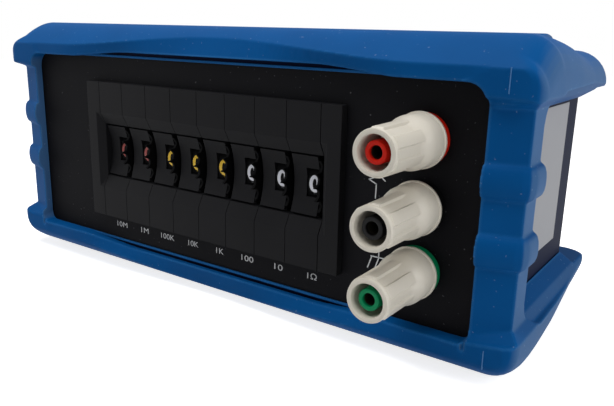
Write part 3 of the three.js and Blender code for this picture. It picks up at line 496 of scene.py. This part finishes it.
def finish(name, colours, roughness, cloud_scale, grain_scale, grain_strength, **values):
    """A material whose colour drifts between two near shades, with a fine grain."""
    material = bpy.data.materials.new(name)
    material.use_nodes = True
    tree = material.node_tree
    shader = tree.nodes["Principled BSDF"]
    shader.inputs["Roughness"].default_value = roughness
    for socket, value in values.items():
        shader.inputs[socket.replace("_", " ")].default_value = value
    place = add(tree, "ShaderNodeTexCoord")
    cloud = noise(tree, place, cloud_scale, 4)
    shade = blend(tree, cloud.outputs["Fac"], *colours)
    tree.links.new(shade.outputs["Color"], shader.inputs["Base Color"])
    grain = noise(tree, place, grain_scale, 3)
    bump = add(tree, "ShaderNodeBump", {
        "Strength": grain_strength, "Distance": 0.00005, "Height": grain.outputs["Fac"]})
    tree.links.new(bump.outputs["Normal"], shader.inputs["Normal"])
    return material


# Moulded ABS with a fine spark texture: dark navy, half dull.
case_abs = finish("navy moulded ABS", ("030a20", "040f2c"), 0.55, 40, 2200, 0.2,
                  Specular_IOR_Level=0.03)
case = soften("case", "case_shell", 0.25)
dress(case, case_abs)
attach(case, "root")
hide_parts("case_shell")

# Between the scoops and the panel an inner lip of the boot lies against the case's rim.
for name, low, high in [("inner_lip_upper", 35.5, 36.35), ("inner_lip_lower", -36.35, -35.5)]:
    lip = bar(name, -84, 84, -0.85, -0.02, low, high)
    ease_edges(lip, 0.25)
    dress(lip, rubber)
    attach(lip, "root")

# A blank label of matt film is stuck on the right side: a pale grey field in the window.
label_film = finish("matt white film", ("8b8c90", "96979b"), 0.5, 25, 700, 0.05,
                    Specular_IOR_Level=0.1)
label_back, label_face = 100.52, 100.66
label = bar("side_label", label_back, label_face, 12, 58, -19.5, 26.5)
apply(label, "BEVEL", width=0.00005, segments=1)
dress(label, label_film)
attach(label, "root")


# Panel. A flat black plate of moulded plastic, drawn in from behind by four screws through
# the case's posts. Its fine satin texture looks dull and deep, with a little pale dust in it.
panel_plastic = finish("black satin ABS", ("0d0d0f", "131316"), 0.6, 30, 2400, 0.3,
                       Specular_IOR_Level=0.04)
tree = panel_plastic.node_tree
shader = tree.nodes["Principled BSDF"]
place = add(tree, "ShaderNodeTexCoord")
speck = noise(tree, place, 1000, 1)
dust = add(tree, "ShaderNodeMapRange", {
    "Value": speck.outputs["Fac"], "From Min": 0.73, "From Max": 0.79, "To Max": 0.3})
plain_black = shader.inputs["Base Color"].links[0].from_socket
dusty = blend(tree, dust.outputs["Result"], plain_black, "8a8a8c")
tree.links.new(dusty.outputs["Color"], shader.inputs["Base Color"])
dress(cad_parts["front_panel"], panel_plastic)


# Print. The decade values under the modules and the circuit signs at the posts are screen
# printed on the panel. The ink is a dull off-white, a few hundredths of a millimetre proud.
screen_ink = finish("white screen ink", ("b9babc", "c6c7c9"), 0.55, 300, 2500, 0.1)
module_pitch, bank_shift = 12.7, -5.4
print_y, value_height, value_z = -0.04, 2.1, -29.8


def letters(name, text, height, heavier):
    """Flat letters as a mesh in the x-y plane, centred on the origin, in millimetres."""
    deselect()
    bpy.ops.object.text_add()
    piece = bpy.context.object
    piece.name = name
    piece.data.body = text
    piece.data.offset = heavier
    piece.data.resolution_u = 6
    bpy.ops.object.convert(target="MESH")
    piece = bpy.context.object
    spots = [v.co.copy() for v in piece.data.vertices]
    low = [min(s[axis] for s in spots) for axis in (0, 1)]
    high = [max(s[axis] for s in spots) for axis in (0, 1)]
    scale = height / (high[1] - low[1])
    for vertex in piece.data.vertices:
        vertex.co = ((vertex.co.x - (low[0] + high[0]) / 2) * scale,
                     (vertex.co.y - (low[1] + high[1]) / 2) * scale, 0)
    return piece


for name, text, left, end in [
        ("value_10M", "10M", -48.2, -41.8), ("value_1M", "1M", -34.1, -29.6),
        ("value_100K", "100K", -23.1, -15.4), ("value_10K", "10K", -8.6, -3.1),
        ("value_1K", "1K", 5.3, 9.1), ("value_100", "100", 17.0, 22.8),
        ("value_10", "10", 31.5, 35.3), ("value_1", "1Ω", 45.0, 49.0)]:
    value = letters(name, text, value_height, 0.0)
    squeeze = (end - left) * 0.46 / max(v.co.x for v in value.data.vertices)
    for vertex in value.data.vertices:
        x = vertex.co.x * squeeze + (left + end) / 2 + bank_shift
        vertex.co = at(x, print_y, vertex.co.y + value_z)
    dress(value, screen_ink)
    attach(value, "root")


def join(pieces, name):
    deselect()
    for piece in pieces:
        piece.select_set(True)
    bpy.context.view_layer.objects.active = pieces[0]
    if len(pieces) > 1:
        bpy.ops.object.join()
    pieces[0].name = name
    return pieces[0]


def stroke(x0, z0, x1, z1, width=0.36):
    """One printed line between two places on the panel."""
    deselect()
    bpy.ops.mesh.primitive_plane_add(size=1)
    line = bpy.context.object
    run = Vector((x1 - x0, 0, z1 - z0)).normalized() * width / 2
    side = Vector((-run.z, 0, run.x))
    start = Vector((x0 + bank_shift, print_y, z0)) - run
    end = Vector((x1 + bank_shift, print_y, z1)) + run
    corners = (start - side, end - side, start + side, end + side)
    for vertex, corner in zip(line.data.vertices, corners):
        vertex.co = at(*corner)
    return line


resistor_runs = [(71.6, 5.4, 70.2, 6.6), (68.5, 6.2, 66.3, 5.2), (66.3, 5.2, 68.8, 4.1),
                 (68.8, 4.1, 68.7, -0.1)]
earth_runs = [(70.8, -16.3, 70.8, -18.1), (68.2, -18.1, 73.6, -18.1), (68.5, -18.1, 67.2, -21.9),
              (70.9, -18.1, 69.6, -21.9), (73.3, -18.1, 72.0, -21.9)]
for name, runs in [("resistor_sign", resistor_runs), ("earth_sign", earth_runs)]:
    sign_print = join([stroke(*run) for run in runs], name)
    dress(sign_print, screen_ink)
    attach(sign_print, "root")


# Switch modules. Eight equal modules moulded in black nylon are clamped side by side between
# two cheeks. Each has a hollow face plate, a number window and a slot for its wheel's teeth.
# The nylon is a shade greyer than the panel, so that the bank stands out from it.
switch_nylon = finish("black moulded nylon", ("111113", "18181a"), 0.55, 50, 2200, 0.2,
                      Specular_IOR_Level=0.06)
face_y, ledge_y, plate_y, module_rear = -3.1, -0.8, -0.3, 27.6
module_half, bezel_half, recess_half, floor_half = 24, 26.25, 14.6, 10.2
dish_half, dish_depth, groove = 9.5, 1.9, 1.3
dish_radius = (dish_half ** 2 + dish_depth ** 2) / (2 * dish_depth)
dish_angle = math.asin(dish_half / dish_radius)
upper = [(-0.1, module_half), (-0.1, bezel_half), (face_y, bezel_half), (face_y, recess_half),
         (ledge_y, floor_half), (groove, floor_half), (groove, dish_half)]
dish_turns = [mix(dish_angle, -dish_angle, i / 24) for i in range(25)]
hollow = [(plate_y + dish_depth + dish_radius * (math.cos(turn) - 1),
           dish_radius * math.sin(turn)) for turn in dish_turns]
module_side = upper + hollow + [(y, -z) for y, z in reversed(upper)]
module_side += [(module_rear, -module_half), (module_rear, module_half)]
wheel_y = 11.4
module_width, module_gap, decades = 12.5, 0.1, 8
slot_before, slot_rear = -9, 5.7


def disc(name, radius, x0, x1, steps=96):
    """A round slice about a module's wheel axis."""
    turns = [math.tau * i / steps for i in range(steps)]
    return loft(name, [[(x, wheel_y + radius * math.cos(turn), radius * math.sin(turn))
                        for turn in turns] for x in (x0, x1)])


module = loft("module", [[(x, y, z) for y, z in module_side] for x in (0, module_width)])
cut(module, disc("drum_room", 10, 4.9, 10.25))
cut(module, disc("teeth_room", 14.3, 9.95, 11.4))
cut(module, bar("number_window", 5, 10.1, slot_before, slot_rear, -4, 5.3))
cut(module, bar("wheel_slot", 10, 13, slot_before, slot_rear, -9.6, 9.6))
cut(module, disc("axle", 2.5, 4.6, 11.8, 32), "UNION")
ease_edges(module, 0.15)


def place_copies(piece, name, count=decades):
    """Copies of a module's piece, each with its own mesh, one module pitch apart."""
    copies = []
    for k in range(count):
        copy = piece if k == count - 1 else piece.copy()
        if k < count - 1:
            copy.data = piece.data.copy()
            bpy.context.scene.collection.objects.link(copy)
        copy.name = f"{name}_{k + 1}"
        left = bank_shift + (k - count / 2) * module_pitch + module_gap
        copy.data.transform(Matrix.Translation((left / 1000, 0, 0)))
        copies.append(copy)
    return copies


for k, piece in enumerate(place_copies(module, "module")):
    dress(piece, switch_nylon)
    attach(piece, "root")
    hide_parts(f"switch_housing_{k + 1}")
for side_name in ("left", "right"):
    cheek = soften(f"cheek_{side_name}", f"end_cheek_{side_name}", 0.2)
    dress(cheek, switch_nylon)
    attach(cheek, "root")
    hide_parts(f"end_cheek_{side_name}")


# Thumbwheels. Each is a number drum and a toothed disc in one black moulding. Ten figures
# are printed round the drum: red on the two highest decades, then yellow, then white.
# The acetal is nearly jet black, so that the drums sink back behind the face plates.
wheel_acetal = finish("black moulded acetal", ("040405", "070708"), 0.55, 60, 1500, 0.1,
                      Specular_IOR_Level=0.04)
tooth_count, drum_radius, ink_radius, drum_middle = 20, 9.7, 9.73, 7.75
teeth = []
for i in range(tooth_count):
    middle = math.pi + i * math.tau / tooth_count
    for turn, radius in [(-4.6, 11.95), (-2.2, 12.7), (-0.7, 13.9), (0, 14.0), (0.7, 13.9),
                         (2.2, 12.7), (4.6, 11.95), (9, 11.85)]:
        angle = middle + math.radians(turn)
        teeth.append((radius * math.cos(angle), radius * math.sin(angle)))
wheel = loft("wheel", [[(x, wheel_y + y, z) for y, z in teeth] for x in (10.1, 11.1)])
cut(wheel, disc("drum", drum_radius, 5.2, 10.6), "UNION")
cut(wheel, disc("bore", 2.8, 4, 12, 32))
ease_edges(wheel, 0.1, 30)

# The figures are cut across in strips, so that they bend round the drum.
figures = []
figure_height, figure_half, figure_drop, figure_places = 5.75, 2.0, 0.3, 10
for digit in range(figure_places):
    figure = letters("figure", str(digit), figure_height, 0.03)
    pick(figure)
    bpy.ops.object.mode_set(mode="EDIT")
    for i in range(-5, 6):
        bpy.ops.mesh.select_all(action="SELECT")
        bpy.ops.mesh.bisect(plane_co=(0, i * 0.6, 0), plane_no=(0, 1, 0))
    bpy.ops.object.mode_set(mode="OBJECT")
    squeeze = figure_half / max(v.co.x for v in figure.data.vertices)
    for vertex in figure.data.vertices:
        angle = math.pi - (vertex.co.y + figure_drop) / drum_radius
        angle -= digit * math.tau / figure_places
        vertex.co = at(drum_middle + vertex.co.x * squeeze,
                       wheel_y + ink_radius * math.cos(angle), ink_radius * math.sin(angle))
    figures.append(figure)
figure_ring = join(figures, "figures")
# The inks are flat and bright against the drum. The red one is much darker than the others: its
# own colour darkened with painted shade, as the two highest decades lie in shade.
inks = [finish(f"{name} figure ink", colours, 0.45, 400, 2500, 0.08) for name, colours in [
    ("red", ("7e1c13", "8a2418")), ("yellow", ("d8ae10", "e2b818")),
    ("white", ("cfd0d8", "dadbe2"))]]
for k, piece in enumerate(place_copies(wheel, "wheel")):
    dress(piece, wheel_acetal)
    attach(piece, f"thumbwheel_{k + 1}")
    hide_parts(f"thumbwheel_{k + 1}")
for k, piece in enumerate(place_copies(figure_ring, "figures")):
    dress(piece, inks[0 if k < 2 else 1 if k < 5 else 2])
    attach(piece, f"thumbwheel_{k + 1}")

# A dull black mask bent round each drum leaves one figure in sight.
mask_black = finish("dull black mask film", ("030304", "050506"), 0.7, 60, 1500, 0.1,
                    Specular_IOR_Level=0.05)
mask_radius, mask_outside, mask_inside = 9.9, 9.93, 9.82
shades = []
for low, high in [(3.25, 6.5), (-6.5, -3.0)]:
    turns = [mix(math.asin(low / mask_radius), math.asin(high / mask_radius), i / 6)
             for i in range(7)]
    edge = [(wheel_y - mask_outside * math.cos(t), mask_outside * math.sin(t)) for t in turns]
    edge += [(wheel_y - mask_inside * math.cos(t), mask_inside * math.sin(t))
             for t in reversed(turns)]
    shades.append(loft("shade", [[(x, y, z) for y, z in edge] for x in (5.0, 10.0)]))
for piece in place_copies(join(shades, "mask"), "figure_mask"):
    dress(piece, mask_black)
    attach(piece, "root")


# Binding posts. Each has a coloured nylon body with a collar and a sleeve, a plated brass
# socket in it, and a ribbed ivory cap that screws on the sleeve.
def turned(name, profile, x, z, steps=96):
    """A turned body about a line along y, from a closed run of (radius, y)."""
    deselect()
    bpy.ops.mesh.primitive_circle_add(vertices=len(profile), fill_type="NOTHING")
    piece = bpy.context.object
    piece.name = name
    for vertex, (radius, y) in zip(piece.data.vertices, profile):
        vertex.co = at(x + radius, y, z)
    bpy.ops.object.mode_set(mode="EDIT")
    bpy.ops.mesh.select_all(action="SELECT")
    bpy.ops.mesh.spin(steps=steps, angle=math.tau, center=at(x, 0, z), axis=(0, 1, 0))
    bpy.ops.mesh.select_all(action="SELECT")
    bpy.ops.mesh.remove_doubles(threshold=2e-6)
    bpy.ops.mesh.normals_make_consistent(inside=False)
    bpy.ops.object.mode_set(mode="OBJECT")
    return piece


post_x, post_pitch = 77.8, 19.05
# The ivory caps are the palest thing on the box and catch soft highlights. The nickel in the
# sockets is dull, and painted dark as painted shade for the deep bores; the bodies' nylon is
# strongly coloured, with little shine.
ivory_nylon = finish("ivory moulded nylon", ("c9c2b4", "d2ccbf"), 0.33, 120, 1200, 0.05)
shade_darkened_nickel = finish("nickel plate with painted bore shade", ("4a463e", "5c574d"), 0.4, 300, 2500, 0.1, Metallic=1.0)
coloured = {}
for name, colours in [("red", ("bb1607", "c8200c")), ("black", ("060607", "0a0a0c")),
                      ("green", ("00794b", "018455"))]:
    coloured[name] = finish(f"{name} moulded nylon", colours, 0.4, 150, 1500, 0.06,
                            Specular_IOR_Level=0.12)

cap_profile = [(3.35, -5.2), (3.35, -18), (4.6, -18), (4.6, -28.3), (4.7, -28.6), (5.0, -28.7),
               (5.65, -28.7), (5.92, -28.58), (6.05, -28.2), (6.05, -27.5), (5.85, -27.25)]
cap_profile += [(mix(5.8, 5.9, i / 14), mix(-27.1, -16.2, i / 14)) for i in range(15)]
cap_profile += [(mix(5.9, 7.5, ease(i / 14)), mix(-16.2, -9.2, i / 14)) for i in range(1, 15)]
cap_profile += [(7.5, -4.4), (7.5, -4.2), (7.75, -4.15), (7.88, -4.0), (7.88, -3.3), (7.75, -3.05),
                (7.5, -3.0), (6.3, -3.0), (6.3, -5.2)]
rib_front, rib_end, rib_flat = -27.3, -10.2, 1.5  # of a cap's ribs
for i, name in enumerate(("red", "black", "green")):
    z = (1 - i) * post_pitch
    cap = turned(f"{name}_cap_skin", cap_profile, post_x, z, 180)
    axis = at(post_x, 0, z)
    # Six flat ribs run from behind the rim into the skirt.
    for vertex in cap.data.vertices:
        arm = Vector((vertex.co.x - axis.x, 0, vertex.co.z - axis.z))
        radius = arm.length * 1000
        y = vertex.co.y * 1000 + PANEL_BACK_SHIFT
        if radius > 5.7 and rib_front < y < rib_end:
            off = abs(math.atan2(arm.z, arm.x) % (math.tau / 6) - math.tau / 12) * radius
            crown = mix(6.35, 6.5, (y - rib_front) / 12)
            lift = max(0, crown - radius) * (1 - ease((off - rib_flat) / 0.3))
            vertex.co += arm.normalized() * lift / 1000
    smooth(cap, 32)
    dress(cap, ivory_nylon)
    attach(cap, f"{name}_cap")
    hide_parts(f"{name}_post_cap")
    body = turned(f"{name}_body_skin", [
        (2.65, 2.5), (4.0, 2.5), (4.0, -0.1), (7.2, -0.1), (7.4, -0.3), (7.4, -2.3), (7.15, -2.6),
        (3.05, -2.6), (3.05, -27.35), (2.95, -27.6), (2.7, -27.7), (2.1, -27.7), (1.85, -27.6),
        (1.75, -27.35), (1.75, -26.7), (2.65, -26.7)], post_x, z)
    smooth(body, 40)
    dress(body, coloured[name])
    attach(body, "root")
    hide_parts(f"{name}_post_body")
    socket = turned(f"{name}_socket_skin", [
        (0, -6.7), (1.9, -6.7), (2.0, -26.4), (2.15, -26.6), (2.4, -26.6), (2.55, -26.4),
        (2.55, 17.5), (0, 17.5)], post_x, z)
    smooth(socket, 40)
    dress(socket, shade_darkened_nickel)
    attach(socket, "root")
    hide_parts(f"{name}_post_socket")


# Hidden hardware. Screws, tie rods, nuts and washers are zinc plated steel, the resistor
# boards are glass laminate, the bushes nylon, and the leads have coloured sleeving.
# Hardly any of it shows. Zinc is bright and greyish, the laminate green, the bushes black.
zinc = finish("zinc plated steel", ("9a9da2", "b4b7bb"), 0.35, 200, 1800, 0.15, Metallic=1.0)
laminate = finish("green glass laminate", ("164a2f", "1f6040"), 0.45, 200, 1500, 0.2)
bush_nylon = finish("black nylon bush", ("121214", "18181b"), 0.5, 100, 1500, 0.1)
for name, node_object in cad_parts.items():
    if name.startswith(("panel_screw", "tie_rod")) or name.endswith(("_nut", "_washer")):
        dress(node_object, zinc)
    elif name.startswith("decade_board"):
        dress(node_object, laminate)
    elif name.endswith("_bush"):
        dress(node_object, bush_nylon)
    elif name.endswith("_lead"):
        dress(node_object, coloured[name.split("_")[0]])
